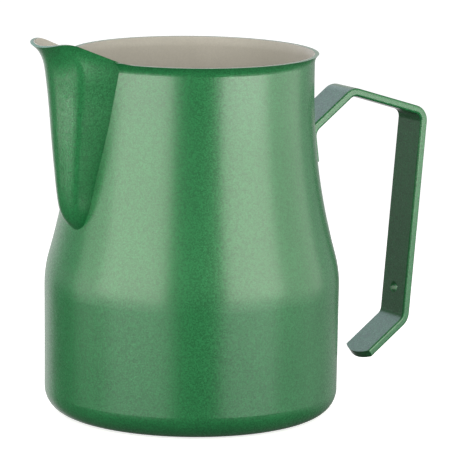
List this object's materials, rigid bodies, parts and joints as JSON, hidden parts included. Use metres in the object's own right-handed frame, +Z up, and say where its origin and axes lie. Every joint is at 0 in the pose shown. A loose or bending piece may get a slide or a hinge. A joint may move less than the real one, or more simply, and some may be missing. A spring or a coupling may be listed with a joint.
{
  "type": "milk frothing pitcher",
  "caption": "Open steel frothing pitcher with a round shoulder, tapering neck, pressed V spout and a bent flat-strip handle.",
  "frame": {"origin": "centre of the flat base, on the axis of the cup", "axes": "+Z up along the cup's axis, +X towards the handle, -X towards the spout, +Y completes the right-handed frame"},
  "size_m": [0.1364, 0.09, 0.1162],
  "materials": {
    "green_coat": "metallic green stove enamel, satin, with fine flake",
    "grey_lining": "matt warm grey non-stick coat",
    "steel": "stainless steel sheet and strip"
  },
  "bodies": {
    "root": {"outer_coating": "green_coat", "body_shell": "steel", "inner_coating": "grey_lining", "handle_coating": "green_coat", "handle_strip": "steel", "weld_nuggets": "steel"}
  },
  "joints": []
}
